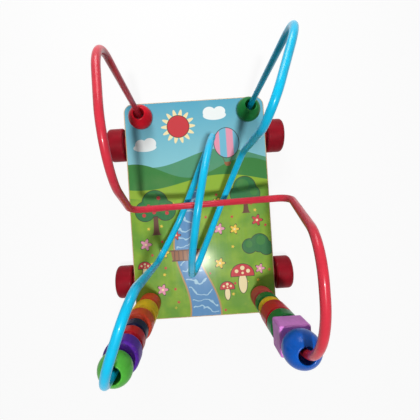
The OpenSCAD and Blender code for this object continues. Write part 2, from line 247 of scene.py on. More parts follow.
def oval(x, y, half_w, half_l):
    """Ink in an oval at a place on the sheet."""
    sockets = {0: flat, 1: (1 / half_w, 1 / half_l, 0.0), 2: (-x / half_w, -y / half_l, 0.0)}
    own = add_node(tree, "ShaderNodeVectorMath", sockets, operation="MULTIPLY_ADD").outputs[0]
    return printed_where(reach_of(own) - 1.0, ink_edge / min(half_w, half_l))


def disc(x, y, radius):
    return oval(x, y, radius, radius)


def slope_below(height, swell, stride, shift):
    """Ink below a rolling line across the sheet."""
    return printed_where(along - (wave((across + shift) / stride) * swell + height))


def rosette_round(own, size, petals, depth_share):
    """Ink in a flower of round petals, about the point that a vector starts from."""
    parts = add_node(tree, "ShaderNodeSeparateXYZ", {0: own}).outputs
    lobes = work_out("COSINE", work_out("ARCTAN2", parts["Y"], parts["X"]) * petals)
    return printed_where(reach_of(own) - (lobes * (size * depth_share) + size))


def rosette(x, y, size, petals, depth_share):
    """Ink in a flower of round petals at a place on the sheet."""
    own = add_node(tree, "ShaderNodeVectorMath", {0: flat, 1: (x, y, 0.0)}, operation="SUBTRACT").outputs[0]
    return rosette_round(own, size, petals, depth_share)


def ink(mask, colour):
    """Prints a colour over the picture so far."""
    layers.append(blend_colours(tree, mask.socket, layers[-1], colour))


across, along = [Drawn(part) for part in add_node(tree, "ShaderNodeSeparateXYZ", {0: flat}).outputs[:2]]

# Sky with a sun, its rays and two clouds
sky_span = (34.0, 84.0)
sun_x, sun_y = (-13.0, 65.0)
sun_r = 8.4
ray_r = 11.0
sun_rays = 14.0
ray_depth_share = 0.22
cloud_puffs = (
    (16.0, 72.0, 9.0, 3.6), (12.0, 74.5, 5.0, 4.4), (20.0, 75.0, 4.6, 3.8),
    (-40.0, 50.0, 9.0, 3.2), (-43.0, 52.5, 4.4, 4.0), (-36.0, 53.0, 5.0, 4.4),
)
layers = [blend_colours(tree, spread(tree, along.socket, 0.0, 1.0, sky_span), haze_blue, sky_blue)]
ink(rosette(sun_x, sun_y, ray_r, sun_rays, ray_depth_share), cream)
for outline_w, colour in ((line_w, line_ink), (0.0, cap_red)):
    ink(disc(sun_x, sun_y, sun_r + outline_w), colour)
for x, y, half_w, half_l in cloud_puffs:
    ink(oval(x, y, half_w, half_l), cloud_white)

# Hills behind one another, the nearest one the meadow
hills = (
    (40.0, 6.0, 17.0, 8.0, far_hill_green), (31.0, 6.5, 14.0, -16.0, hill_green),
    (21.0, 4.5, 19.0, 12.0, lime_green),
)
meadow_top = 12.0
meadow_roll = (3.5, 23.0, -10.0)
turf_span = (0.4, 0.66)
for height, swell, stride, shift, colour in hills:
    ink(slope_below(height, swell, stride, shift), colour)
meadow = slope_below(meadow_top, *meadow_roll)
turf = speckle(tree, flat, per_mm=0.05, detail=3.0)
ink(meadow, blend_colours(tree, spread(tree, turf, 0.0, 1.0, turf_span), grass_green, lime_green))

# Striped balloon with ropes that lean in to its basket
balloon_x, balloon_y = (24.0, 50.0)
balloon_half_w = 9.6
balloon_half_l = 11.5
stripe_stride = 1.7
rope_half_w = 0.22
rope_lean = 0.42
ropes_meet_y = 30.0
ropes_middle_y = 37.2
ropes_half_l = 2.6
basket_y = 34.6
basket_half_w = 2.6
basket_half_l = 2.9
basket_rim_y = 35.0
off_balloon = across - balloon_x
stripes = printed_where(wave(off_balloon / stripe_stride)).socket
stripe_inks = blend_colours(tree, stripes, petal_pink, balloon_blue)
for outline_w, colour in ((line_w, line_ink), (0.0, stripe_inks)):
    ink(oval(balloon_x, balloon_y, balloon_half_w + outline_w, balloon_half_l + outline_w), colour)
off_rope = abs(abs(off_balloon) - (along - ropes_meet_y) * rope_lean)
rope_span = printed_where(abs(along - ropes_middle_y) - ropes_half_l)
ink(printed_where(off_rope - rope_half_w) * rope_span, trunk_brown)
basket = oval(balloon_x, basket_y, basket_half_w, basket_half_l)
ink(basket * printed_where(along - basket_rim_y), plank_brown)

# Stream that widens from the hills to the near end, with tan banks, ripples and a plank bridge
stream_x = -7.0
stream_swing = 7.0
stream_stride = 17.0
stream_half_w = 5.5
stream_widening = 0.07
stream_top = 17.0
bank_top = 17.5
bank_w = 1.4
ripple_stride = 1.1
ripple_wander = 26.0
ripple_depth = 0.86
ripple_inset = 1.2
bridge_y = -36.0
bridge_half_w = 4.2
bridge_overhang = 3.4
plank_stride = 0.52
plank_depth = 0.72
rail_y = 4.0
rail_half_w = 0.5
rail_overhang = 4.2
off_stream = abs(across - (wave(along / stream_stride) * stream_swing + stream_x))
off_stream = off_stream - (stream_half_w - along * stream_widening)
stream = printed_where(off_stream) * slope_below(stream_top, *meadow_roll)
ink(printed_where(off_stream - bank_w) * slope_below(bank_top, *meadow_roll), bank_tan)
ink(stream, stream_blue)
ripples = wave(along / ripple_stride + Drawn(turf) * ripple_wander)
ripples = printed_where(ripples + ripple_depth) * printed_where(off_stream + ripple_inset)
ink(ripples * stream, ripple_blue)
off_bridge = abs(along - bridge_y)
planks = printed_where(wave(across / plank_stride) - plank_depth).socket
bridge = printed_where(off_bridge - bridge_half_w) * printed_where(off_stream - bridge_overhang)
ink(bridge, blend_colours(tree, planks, trunk_brown, plank_brown))
rails = printed_where(abs(off_bridge - rail_y) - rail_half_w)
ink(rails * printed_where(off_stream - rail_overhang), trunk_brown)

# Small flowers scattered over the meadow, away from the stream
buds_per_mm = 0.11
bud_scatter = 0.75
bud_r = 0.95
bud_depth_share = 0.35
bare_bed_share = 0.55
red_bud_share = 0.5
draw_edge = 0.01
petals = 5.0
stream_clearance = 3.0
bed = add_node(
    tree, "ShaderNodeTexVoronoi", {"Vector": flat, "Scale": buds_per_mm, "Randomness": bud_scatter},
    voronoi_dimensions="2D",
).outputs
bud = add_node(tree, "ShaderNodeVectorMath", {0: flat, 1: bed["Position"]}, operation="SUBTRACT").outputs[0]
draw = add_node(tree, "ShaderNodeSeparateColor", {0: bed["Color"]}).outputs
field = meadow * printed_where(stream_clearance - off_stream)
sown = field * printed_where(bare_bed_share - Drawn(draw["Red"]), draw_edge)
red_buds = printed_where(Drawn(draw["Green"]) - red_bud_share, draw_edge).socket
bud_inks = blend_colours(tree, red_buds, petal_yellow, cap_red)
ink(rosette_round(bud, bud_r, petals, bud_depth_share) * sown, bud_inks)

# Trees and bushes: trunks first, then crowns of overlapping rounds with paler tops, and red fruit
trunks = ((-35.0, -19.0, 0.0, 1.7), (36.0, -6.0, 10.0, 1.4))
root_flare = 2.4
root_h = 1.0
crowns = (
    (-43.0, 0.0, 7.6), (-27.0, 0.0, 7.6), (-35.0, 6.0, 10.0), (36.0, 14.0, 8.6), (30.5, 9.0, 6.0),
    (41.5, 9.0, 6.0), (45.0, -30.0, 7.0), (37.0, -32.0, 5.6), (50.0, -34.0, 5.4),
)
paler_tops = (
    (-37.5, 8.5, 6.0), (-28.5, 2.0, 4.0), (-44.5, 2.0, 3.6), (34.5, 16.0, 4.8), (43.0, 10.5, 3.0),
    (46.0, -28.0, 3.6), (36.5, -30.5, 2.8),
)
fruit = ((-40.0, 4.0), (-32.0, 10.0), (-26.0, -2.0), (-36.0, -1.0), (-44.0, -3.0))
fruit_r = 1.5
for x, foot, top, half_w in trunks:
    flare = root_flare * root_h / work_out("MAXIMUM", along - (foot - root_h), root_h)
    trunk = printed_where(abs(across - x) - (flare + half_w))
    ink(trunk * (printed_where(foot - along) * printed_where(along - top)), trunk_brown)
for rounds, outline_w, colour in (
    (crowns, line_w, line_ink), (crowns, 0.0, leaf_green), (paler_tops, 0.0, hill_green),
):
    for x, y, radius in rounds:
        ink(disc(x, y, radius + outline_w), colour)
for x, y in fruit:
    ink(disc(x, y, fruit_r), cap_red)

# Mushrooms: cream stems under spotted caps, in shares of the half width of the cap
mushrooms = ((30.0, -54.0, 9.0), (17.5, -64.0, 5.6), (-46.0, -44.0, 5.0))
stem_drop_share = 0.75
stem_half_w_share = 0.36
stem_half_l_share = 0.85
cap_half_l_share = 0.92
rim_drop_share = 0.12
cap_spot_shares = ((-0.5, 0.32, 0.16), (0.02, 0.58, 0.19), (0.5, 0.3, 0.17), (0.02, 0.14, 0.11))
for x, y, size in mushrooms:
    for outline_w, stem_ink, cap_ink in ((line_w, line_ink, line_ink), (0.0, cream, cap_red)):
        stem_half_w = stem_half_w_share * size + outline_w
        stem_half_l = stem_half_l_share * size + outline_w
        ink(oval(x, y - stem_drop_share * size, stem_half_w, stem_half_l), stem_ink)
        above_rim = printed_where((y - rim_drop_share * size - outline_w) - along)
        cap = oval(x, y, size + outline_w, cap_half_l_share * size + outline_w)
        ink(cap * above_rim, cap_ink)
    for right, up, spot in cap_spot_shares:
        ink(disc(x + right * size, y + up * size, spot * size), cream)

# Large flowers with cream eyes, here and there over the meadow
flowers = (
    (-44.0, -26.0, 3.4, petal_pink), (-30.0, -33.0, 3.0, petal_yellow), (14.0, -17.0, 3.2, petal_pink),
    (26.0, -18.0, 2.8, petal_yellow), (44.0, -12.0, 3.2, cap_red), (13.0, -44.0, 3.0, petal_yellow),
    (-33.0, -62.0, 3.2, petal_pink), (-20.0, -20.0, 2.6, cap_red), (44.0, -50.0, 2.8, petal_pink),
    (14.0, 4.0, 2.6, petal_yellow),
)
petal_depth_share = 0.32
eye_share = 0.3
for x, y, size, petal_ink in flowers:
    for outline_w, colour in ((line_w, line_ink), (0.0, petal_ink)):
        ink(rosette(x, y, size + outline_w, petals, petal_depth_share), colour)
    ink(disc(x, y, eye_share * size), cream)

# Ink on paper under film: fine tooth, faint rubbing and hairline scratches in the gloss
hairlines_along_board = (1.0, 0.03, 1.0)
hairline_span = (0.35, 0.7)
rubbing_span = (0.5, 0.8)
paleness = 0.06
film_roughness = (0.42, 0.58)
tooth = speckle(tree, flat, per_mm=1.6, detail=2.0)
rubbing = speckle(tree, flat, per_mm=0.035, detail=4.0)
hairlines = speckle(tree, flat, per_mm=0.9, detail=6.0, stretch=hairlines_along_board)
picture = blend_colours(tree, spread(tree, tooth, 0.0, paleness), layers[-1], haze_blue)
picture = blend_colours(tree, spread(tree, rubbing, 0.0, paleness, rubbing_span), picture, cream)
roughness = spread(tree, hairlines, *film_roughness, hairline_span)
lay_finish(tree, finish, picture, roughness, specular=0.16, coat=0.1, coat_roughness=0.16)
raise_surface(tree, finish, (Drawn(tooth) + Drawn(hairlines)).socket, strength=0.12, depth_mm=0.04)
frame["nodes"]["printed_sheet"].material_slots[0].material = print_film

# Axle pegs: headed birch pegs turned on a lathe, glued into the long edges of the board.
# Each head sits in the recess of its wheel and keeps the wheel on.
peg_r = 0.003
peg_head_r = 0.0055
peg_head_t = 0.003
peg_head_edge_r = 0.0012
peg_tip_edge_r = 0.0006
turned_steps = 96
round_edge_steps = 8
small_edge_steps = 4
weld_gap = 0.000001
ring_gap = 0.00002


def round_edges(mesh, edges, radius, steps=round_edge_steps):
    """Rounds edges, and marks the middle of each rounding as a rim that wears."""
    rim = mesh.verts.layers.float.get("rim") or mesh.verts.layers.float.new("rim")
    made = bmesh.ops.bevel(
        mesh, geom=edges, offset=radius, offset_type="OFFSET", segments=steps, profile=0.5,
        affect="EDGES", material=-1, clamp_overlap=True,
    )
    new_faces = set(made["faces"])
    for vert in made["verts"]:
        if all(face in new_faces for face in vert.link_faces):
            vert[rim] = 1.0


def turn_round(mesh):
    """Turns the half section that a mesh holds once round the Z axis."""
    bmesh.ops.spin(
        mesh, geom=mesh.verts[:] + mesh.edges[:], cent=(0, 0, 0), axis=(0, 0, 1), dvec=(0, 0, 0),
        angle=2 * pi, steps=turned_steps, use_merge=True, use_duplicate=False,
    )
    bmesh.ops.remove_doubles(mesh, verts=mesh.verts, dist=weld_gap)
    bmesh.ops.recalc_face_normals(mesh, faces=mesh.faces)


def turn_on_lathe(section):
    """Turns a half section given as radius and height corners. An edge on the axis is left out."""
    mesh = bmesh.new()
    corners = [mesh.verts.new((radius, 0.0, height)) for radius, height in section]
    for first, second in zip(corners, corners[1:] + corners[:1]):
        if first.co.x > 0.0 or second.co.x > 0.0:
            mesh.edges.new((first, second))
    turn_round(mesh)
    return mesh


def ring_edges(mesh, radius, height):
    """The edges of the circle at a radius and height of a turned piece."""
    def on_ring(vert):
        return abs(vert.co.xy.length - radius) < ring_gap and abs(vert.co.z - height) < ring_gap
    return [edge for edge in mesh.edges if all(on_ring(vert) for vert in edge.verts)]


def set_along(point, direction):
    """A place whose Z axis lies along a direction."""
    return Matrix.Translation(point) @ Vector(direction).to_track_quat("Z", "Y").to_matrix().to_4x4()


def middle_of(node):
    low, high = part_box(node)
    return (low + high) / 2


def set_outward(node, side):
    """The place of a piece that lies across the board: its inner end, with the Z axis pointing out."""
    low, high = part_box(node)
    inner_end = middle_of(node)
    inner_end.x = low.x if side == "right" else high.x
    return set_along(inner_end, (1, 0, 0) if side == "right" else (-1, 0, 0))


def finished_piece(mesh, name, place, material, body, node):
    """Sets a piece modelled along Z in its place, with its own coordinates kept for its finish."""
    bmesh.ops.remove_doubles(mesh, verts=mesh.verts, dist=weld_gap)
    bmesh.ops.recalc_face_normals(mesh, faces=mesh.faces)
    own_place = mesh.verts.layers.float_vector.new("own_place")
    for vert in mesh.verts:
        vert[own_place] = vert.co
    bmesh.ops.transform(mesh, matrix=place, verts=mesh.verts)
    data = bpy.data.meshes.new(name)
    mesh.to_mesh(data)
    mesh.free()
    data.shade_smooth()
    data.materials.append(material)
    piece = bpy.data.objects.new(name, data)
    bpy.context.scene.collection.objects.link(piece)
    piece.modifiers.new("even_shading", "WEIGHTED_NORMAL").keep_sharp = True
    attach(piece, body)
    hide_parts(node)


def place_on_piece(tree):
    """Where a point lies on the piece as it was modelled along Z, in millimetres."""
    stored = add_node(tree, "ShaderNodeAttribute", attribute_name="own_place")
    return in_millimetres(tree, stored.outputs["Vector"])


def lathe_rings(tree, place, per_mm, wander):
    """Fine rings round the Z axis, as a lathe tool leaves them."""
    sockets = {"Vector": place, "Scale": per_mm, "Distortion": wander}
    return add_node(tree, "ShaderNodeTexWave", sockets, bands_direction="Z").outputs["Fac"]


bare_wood_roughness = (0.4, 0.58)
grain_along_peg = (1.0, 1.0, 0.1)
peg_grain_share = 0.5
peg_birch, tree, finish = start_finish("turned_birch")
place = place_on_piece(tree)
grain = speckle(tree, place, per_mm=1.4, detail=4.0, stretch=grain_along_peg)
rings = lathe_rings(tree, place, per_mm=0.55, wander=1.2)
wood = blend_colours(tree, spread(tree, grain, 0.0, 1.0, most_noise), pale_birch, warm_birch)
lay_finish(tree, finish, wood, spread(tree, grain, *bare_wood_roughness, most_noise))
raise_surface(tree, finish, blend_colours(tree, peg_grain_share, rings, grain), strength=0.3, depth_mm=0.05)

corners_of_board = [(end, side) for end in ("rear", "front") for side in ("left", "right")]
for end, side in corners_of_board:
    node = f"{end}_{side}_axle_peg"
    low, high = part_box(node)
    peg_l = high.x - low.x
    neck = peg_l - peg_head_t
    peg = turn_on_lathe((
        (0.0, 0.0), (peg_r, 0.0), (peg_r, neck), (peg_head_r, neck), (peg_head_r, peg_l), (0.0, peg_l),
    ))
    round_edges(peg, ring_edges(peg, peg_head_r, peg_l), peg_head_edge_r)
    round_edges(peg, ring_edges(peg, peg_r, 0.0), peg_tip_edge_r, small_edge_steps)
    finished_piece(
        peg, f"{node}_turned", set_outward(node, side), peg_birch, "frame", node
    )

# Wheels: four thick wheels turned from hardwood and dipped in dark red satin paint.
# Each has a hub boss against the board, a bore for its peg and a recess for the peg's head.
wheel_r = 0.013
wheel_w = 0.013
hub_r = 0.0065
hub_h = 0.001
wheel_bore_r = 0.00306
wheel_recess_r = 0.0058
wheel_recess = 0.004
wheel_outer_edge_r = 0.003
wheel_inner_edge_r = 0.0015
hub_edge_r = 0.0003
hub_edge_steps = 3
recess_edge_r = 0.0005
paint_deep = 0.8
paint_bright = 1.08
paint_in_grain = 0.7
grain_under_paint = (1.0, 1.0, 0.09)
grain_span = (0.52, 0.75)
grain_strength = 0.25
painted_grain_share = 0.6
fleck_span = (0.60, 0.68)
wear_strength = 0.16


def shaded(colour, share):
    """A colour made darker or brighter."""
    return (*(channel * share for channel in colour[:3]), 1.0)


def painted_wood(name, colour, roughness, gloss):
    """Paint on turned wood: drifting depth of colour, grain and lathe rings under it, rims rubbed thin."""
    material, tree, finish = start_finish(name)
    place = place_on_piece(tree)
    rim = add_node(tree, "ShaderNodeAttribute", attribute_name="rim").outputs["Fac"]
    drift = speckle(tree, place, per_mm=0.16, detail=3.0)
    grain = speckle(tree, place, per_mm=0.9, detail=4.0, stretch=grain_under_paint)
    flecks = speckle(tree, place, per_mm=0.75, detail=6.0)
    rings = lathe_rings(tree, place, per_mm=0.42, wander=1.6)
    depth = spread(tree, drift, 0.0, 1.0, most_noise)
    paint = blend_colours(tree, depth, shaded(colour, paint_deep), shaded(colour, paint_bright))
    lines = spread(tree, grain, 0.0, grain_strength, grain_span)
    paint = blend_colours(tree, lines, paint, shaded(colour, paint_in_grain))
    worn = spread(tree, flecks, 0.0, 1.0, fleck_span)
    thin = add_node(tree, "ShaderNodeMath", {0: rim, 1: worn}, operation="MULTIPLY").outputs[0]
    paint = blend_colours(tree, spread(tree, thin, 0.0, wear_strength), paint, warm_birch)
    polish = spread(tree, drift, *roughness, most_noise)
    lay_finish(tree, finish, paint, polish, specular=gloss, coat=gloss / 2, coat_roughness=0.12)
    relief = blend_colours(tree, painted_grain_share, rings, grain)
    raise_surface(tree, finish, relief, strength=0.22, depth_mm=0.05)
    return material


satin = (0.4, 0.54)
wheel_red = painted_wood("wheel_red_paint", paint_colour(144, 16, 32), satin, gloss=0.08)
wheel_face = hub_h + wheel_w
recess_floor = wheel_face - wheel_recess
for end, side in corners_of_board:
    node = f"{end}_{side}_wheel"
    wheel = turn_on_lathe((
        (wheel_bore_r, 0.0), (hub_r, 0.0), (hub_r, hub_h), (wheel_r, hub_h), (wheel_r, wheel_face),
        (wheel_recess_r, wheel_face), (wheel_recess_r, recess_floor), (wheel_bore_r, recess_floor),
    ))
    round_edges(wheel, ring_edges(wheel, wheel_r, wheel_face), wheel_outer_edge_r)
    round_edges(wheel, ring_edges(wheel, wheel_r, hub_h), wheel_inner_edge_r)
    round_edges(wheel, ring_edges(wheel, wheel_recess_r, wheel_face), recess_edge_r, small_edge_steps)
    round_edges(wheel, ring_edges(wheel, hub_r, 0.0), hub_edge_r, hub_edge_steps)
    finished_piece(wheel, f"{node}_turned", set_outward(node, side), wheel_red, node, node)

# Wires: two lengths of steel wire in a smooth plastic coat, bent round pins and glued into the board.
# The red one goes over the blue one's low passes and under its loop, so the two can't come apart.
# A bend's corner is in shares of the far holes' places and the wires' height, with its radius after it.
wire_r = 0.002
wire_sides = 40
bend_step = radians(3)
wire_seat = 0.011
deck_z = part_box("printed_sheet")[1].z
far_hole_x = 0.0405
near_hole_x = 0.043
hole_y = 0.071
wire_h = 0.128
red_bends = (
    ((-1.04, 1.07, 0.84), 0.027), ((-0.89, 0.17, 1.00), 0.027), ((-1.00, -0.02, 0.49), 0.012),
    ((0.04, 0.01, 0.33), 0.056), ((1.24, 0.00, 0.56), 0.012),
)
red_arch = {"shares": (0.98, -0.28), "radii": (0.022, 0.033), "rise": 0.0}
blue_bends = (
    ((1.24, 1.17, 0.84), 0.027), ((0.71, 0.38, 0.97), 0.014), ((0.71, 0.44, 0.39), 0.016),
    ((0.39, 0.04, 0.23), 0.042), ((-0.21, -0.68, 0.36), 0.012), ((-0.06, 0.02, 1.01), 0.040),
    ((0.28, 0.62, 0.42), 0.012), ((-0.35, -0.12, 0.23), 0.042), ((-0.74, -0.50, 0.30), 0.016),
)
blue_arch = {"shares": (-0.64, -0.49), "radii": (0.014, 0.020), "rise": 0.008}
axis_of = {joint["child"]: Vector(joint["axis"]).normalized() for joint in frame["joints"]}
left_leg = axis_of["left_bead_1"]
right_leg = axis_of["right_bead_1"]
plastic_deep = 0.86
plastic_bright = 1.06
plastic_rubbed = 0.7
rubs_per_metre = 70.0
rub_span = (0.5, 0.8)
rub_strength = 0.08
plastic_roughness = (0.24, 0.36)
dulled_span = (0.35, 0.7)


def near_arch(hole, leg, top_ball, shares, radii, rise):
    """The two corners of the arch over a stack, which springs a rise above the middle of its top ball.
    The top run leaves the leg at a right angle."""
    corner = hole + leg * ((middle_of(top_ball) - hole).dot(leg) + rise + radii[1])
    run = Vector((shares[0] * near_hole_x - corner.x, shares[1] * hole_y - corner.y, 0.0))
    run.z = -(run.x * leg.x + run.y * leg.y) / leg.z
    return [corner + run, corner]


def only(kind, parts):
    return [part for part in parts if isinstance(part, kind)]


def edges_among(verts):
    """The edges whose ends are both among some points, each one once and always in the same order."""
    touching = dict.fromkeys(edge for vert in verts for edge in vert.link_edges)
    return [edge for edge in touching if all(vert in verts for vert in edge.verts)]


def bend_wire(path, radii):
    """Draws a round wire along straight runs, and sweeps it round an arc at each corner of its path."""
    mesh = bmesh.new()
    start = set_along(path[0], path[1] - path[0])
    bmesh.ops.create_circle(mesh, segments=wire_sides, radius=wire_r, matrix=start)
    end_edges = mesh.edges[:]
    reached = path[0]
    for corner, after, radius in zip(path[1:], path[2:] + [None], radii + [None]):
        run = (corner - reached).normalized()
        onward = (after - corner).normalized() if after else run
        turn = run.angle(onward, 0.0)
        stop = corner - run * (radius * tan(turn / 2)) if after else corner
        grown = bmesh.ops.extrude_edge_only(mesh, edges=end_edges)["geom"]
        end_verts = only(bmesh.types.BMVert, grown)
        end_edges = edges_among(end_verts)
        bmesh.ops.translate(mesh, verts=end_verts, vec=stop - reached)
        reached = stop
        if after:
            # Rounded first, so that a right angle always takes the same number of steps
            steps = ceil(round(turn / bend_step, 2))
            spoke = (run * run.dot(onward) - onward).normalized()
            swept = bmesh.ops.spin(
                mesh, geom=end_verts + end_edges, cent=stop - spoke * radius, axis=spoke.cross(run),
                dvec=(0, 0, 0), angle=turn, steps=steps, use_merge=False, use_duplicate=False,
            )["geom_last"]
            end_edges = only(bmesh.types.BMEdge, swept)
            reached = corner + onward * (radius * tan(turn / 2))
    mark_run(mesh)
    bmesh.ops.holes_fill(mesh, edges=[edge for edge in mesh.edges if edge.is_boundary], sides=0)
    return mesh


def mark_run(mesh):
    """Keeps the distance along the wire with each ring of its coat, for the marks that beads leave."""
    run_mark = mesh.verts.layers.float.new("run")
    mesh.verts.ensure_lookup_table()
    run, last = 0.0, None
    for first in range(0, len(mesh.verts), wire_sides):
        ring = mesh.verts[first:first + wire_sides]
        middle = sum((vert.co for vert in ring), Vector()) / wire_sides
        run += (middle - last).length if last else 0.0
        last = middle
        for vert in ring:
            vert[run_mark] = run


def wire_coat(name, colour):
    """Gloss plastic coat: faint drift of colour, and rubbed bands where beads travel."""
    material, tree, finish = start_finish(name)
    place = place_on_toy(tree)
    run = add_node(tree, "ShaderNodeAttribute", attribute_name="run").outputs["Fac"]
    drift = speckle(tree, place, per_mm=0.09, detail=3.0)
    ripple = speckle(tree, place, per_mm=0.5, detail=2.0)
    sockets = {"W": run, "Scale": rubs_per_metre, "Detail": 1.0}
    rubs = add_node(tree, "ShaderNodeTexNoise", sockets, noise_dimensions="1D").outputs["Fac"]
    depth = spread(tree, drift, 0.0, 1.0, most_noise)
    coat = blend_colours(tree, depth, shaded(colour, plastic_deep), shaded(colour, plastic_bright))
    rubbed = spread(tree, rubs, 0.0, rub_strength, rub_span)
    coat = blend_colours(tree, rubbed, coat, shaded(colour, plastic_rubbed))
    roughness = spread(tree, rubs, *plastic_roughness, dulled_span)
    lay_finish(tree, finish, coat, roughness, specular=0.2, coat=0.1, coat_roughness=0.1)
    raise_surface(tree, finish, ripple, strength=0.08, depth_mm=0.03)
    return material


red_plastic = wire_coat("red_wire_coat", paint_colour(206, 44, 62))
blue_plastic = wire_coat("blue_wire_coat", paint_colour(0, 186, 228))
right_side = 1
left_side = -1
for node, near_side, leg, top_ball, bends, arch, coat, slot in (
    ("red_wire", right_side, right_leg, "right_bead_7_blue_ball", red_bends, red_arch, red_plastic,
     "red_coated_wire"),
    ("blue_wire", left_side, left_leg, "left_bead_7_green_ball", blue_bends, blue_arch, blue_plastic,
     "blue_coated_wire"),
):
    far_hole = Vector((-near_side * far_hole_x, hole_y, deck_z))
    near_hole = Vector((near_side * near_hole_x, -hole_y, deck_z))
    corners = [Vector((x * far_hole_x, y * hole_y, deck_z + z * wire_h)) for (x, y, z), radius in bends]
    corners += near_arch(near_hole, leg, top_ball, **arch)
    radii = [radius for shares, radius in bends] + list(arch["radii"])
    far_leg = (corners[0] - far_hole).normalized()
    path = [far_hole - far_leg * wire_seat, *corners, near_hole - leg * wire_seat]
    wire = bend_wire(path, radii)
    finished_piece(wire, f"{node}_coated", Matrix.Identity(4), coat, "frame", node)

# Balls: drilled wooden balls in gloss paint, each with a softened mouth at both ends of its bore.
# One lies loose at the foot of each far leg, and one tops each of the near stacks.
bead_bore_r = 0.004
ball_rim_w = 0.0006
ball_rim_edge_r = 0.00054
meridian_steps = 40
mouth_edge_steps = 5


def drilled_ball(size):
    """Sweeps a meridian from mouth to mouth, leads it into the bore and turns it round the Z axis."""
    mesh = bmesh.new()
    mouth_r = bead_bore_r + ball_rim_w
    half_l = sqrt((size / 2) ** 2 - mouth_r ** 2)
    top = mesh.verts.new((mouth_r, 0.0, half_l))
    sweep = pi - 2 * Vector((0.0, 1.0)).angle(Vector((mouth_r, half_l)))
    swept = bmesh.ops.spin(
        mesh, geom=[top], cent=(0, 0, 0), axis=(0, 1, 0), dvec=(0, 0, 0), angle=sweep,
        steps=meridian_steps, use_merge=False, use_duplicate=False,
    )["geom_last"]
    bottom = only(bmesh.types.BMVert, swept)[0]
    upper_mouth = mesh.verts.new((bead_bore_r, 0.0, half_l))
    lower_mouth = mesh.verts.new((bead_bore_r, 0.0, -half_l))
    for pair in ((bottom, lower_mouth), (lower_mouth, upper_mouth), (upper_mouth, top)):
        mesh.edges.new(pair)
    turn_round(mesh)
    mouths = ring_edges(mesh, bead_bore_r, half_l) + ring_edges(mesh, bead_bore_r, -half_l)
    round_edges(mesh, mouths, ball_rim_edge_r, mouth_edge_steps)
    return mesh


far_left_leg = axis_of["red_end_ball"]
far_right_leg = axis_of["green_end_ball"]
full_gloss = (0.26, 0.38)
soft_gloss = (0.28, 0.4)
red_paint = painted_wood("red_gloss_paint", paint_colour(202, 22, 40), soft_gloss, gloss=0.07)
dark_green_paint = painted_wood("dark_green_gloss_paint", paint_colour(26, 118, 54), soft_gloss, gloss=0.07)
light_green_paint = painted_wood(
    "light_green_gloss_paint", paint_colour(78, 172, 56), full_gloss, gloss=0.16
)
blue_paint = painted_wood("blue_gloss_paint", paint_colour(0, 86, 184), full_gloss, gloss=0.16)
for node, size, leg, paint, body, slot in (
    ("red_end_ball", 0.018, far_left_leg, red_paint, "red_end_ball", "red_paint"),
    ("green_end_ball", 0.018, far_right_leg, dark_green_paint, "green_end_ball", "dark_green_paint"),
    ("left_bead_7_green_ball", 0.016, left_leg, light_green_paint, "left_bead_7", "light_green_paint"),
    ("right_bead_7_blue_ball", 0.0186, right_leg, blue_paint, "right_bead_7", "blue_paint"),
):
    ball_place = set_along(middle_of(node), leg)
    finished_piece(drilled_ball(size), f"{node}_painted", ball_place, paint, body, node)

# Turned beads: barrels, drums, discs and tubes of painted wood with rounded edges and bore mouths.
# They are threaded on the two near legs, six on the left and five on the right.
bead_edge_steps = 10
mouth_edge_r = 0.0007
half_gloss = (0.3, 0.44)
worn_satin = (0.38, 0.52)
orange_paint = painted_wood("orange_gloss_paint", paint_colour(216, 70, 44), half_gloss, gloss=0.08)
yellow_paint = painted_wood("yellow_gloss_paint", paint_colour(240, 194, 38), half_gloss, gloss=0.06)
navy_paint = painted_wood("navy_gloss_paint", paint_colour(16, 14, 60), half_gloss, gloss=0.08)
purple_paint = painted_wood("purple_gloss_paint", paint_colour(92, 40, 164), half_gloss, gloss=0.08)
rose_paint = painted_wood("rose_satin_paint", paint_colour(196, 76, 72), worn_satin, gloss=0.06)
for node, size, length, edge_r, leg, paint, slot in (
    ("left_bead_1_orange", 0.0165, 0.0195, 0.0034, left_leg, orange_paint, "orange_paint"),
    ("left_bead_2_yellow", 0.018, 0.0195, 0.0034, left_leg, yellow_paint, "yellow_paint"),
    ("left_bead_3_orange", 0.018, 0.017, 0.0038, left_leg, orange_paint, "orange_paint"),
    ("left_bead_4_navy", 0.0155, 0.0125, 0.0026, left_leg, navy_paint, "navy_paint"),
    ("left_bead_5_red", 0.0165, 0.0125, 0.0026, left_leg, red_paint, "red_paint"),
    ("left_bead_6_purple", 0.018, 0.0145, 0.0038, left_leg, purple_paint, "purple_paint"),
    ("right_bead_1_rose", 0.0165, 0.0195, 0.0034, right_leg, rose_paint, "rose_paint"),
    ("right_bead_2_green", 0.0165, 0.0125, 0.0026, right_leg, dark_green_paint, "dark_green_paint"),
    ("right_bead_3_yellow", 0.0165, 0.010, 0.0026, right_leg, yellow_paint, "yellow_paint"),
    ("right_bead_4_red", 0.0174, 0.0185, 0.0015, right_leg, red_paint, "red_paint"),
    ("right_bead_5_green", 0.0174, 0.012, 0.0015, right_leg, dark_green_paint, "dark_green_paint"),
):
    body = node.rsplit("_", 1)[0]
    half_l = length / 2
    bead = turn_on_lathe((
        (bead_bore_r, -half_l), (size / 2, -half_l), (size / 2, half_l), (bead_bore_r, half_l),
    ))
    for end in (-half_l, half_l):
        round_edges(bead, ring_edges(bead, size / 2, end), edge_r, bead_edge_steps)
        round_edges(bead, ring_edges(bead, bead_bore_r, end), mouth_edge_r, mouth_edge_steps)
    bead_place = set_along(middle_of(node), leg)
    finished_piece(bead, f"{node}_painted", bead_place, paint, body, node)

# Cube bead: a sawn wooden cube with sanded edges and a bore, in lilac satin paint.
# It sits under the blue ball on the right-hand stack.
cube_size = 0.016
cube_edge_r = 0.0012
cube_edge_steps = 6
cube_side_cuts = 15
mouth_frame_half = 0.0056


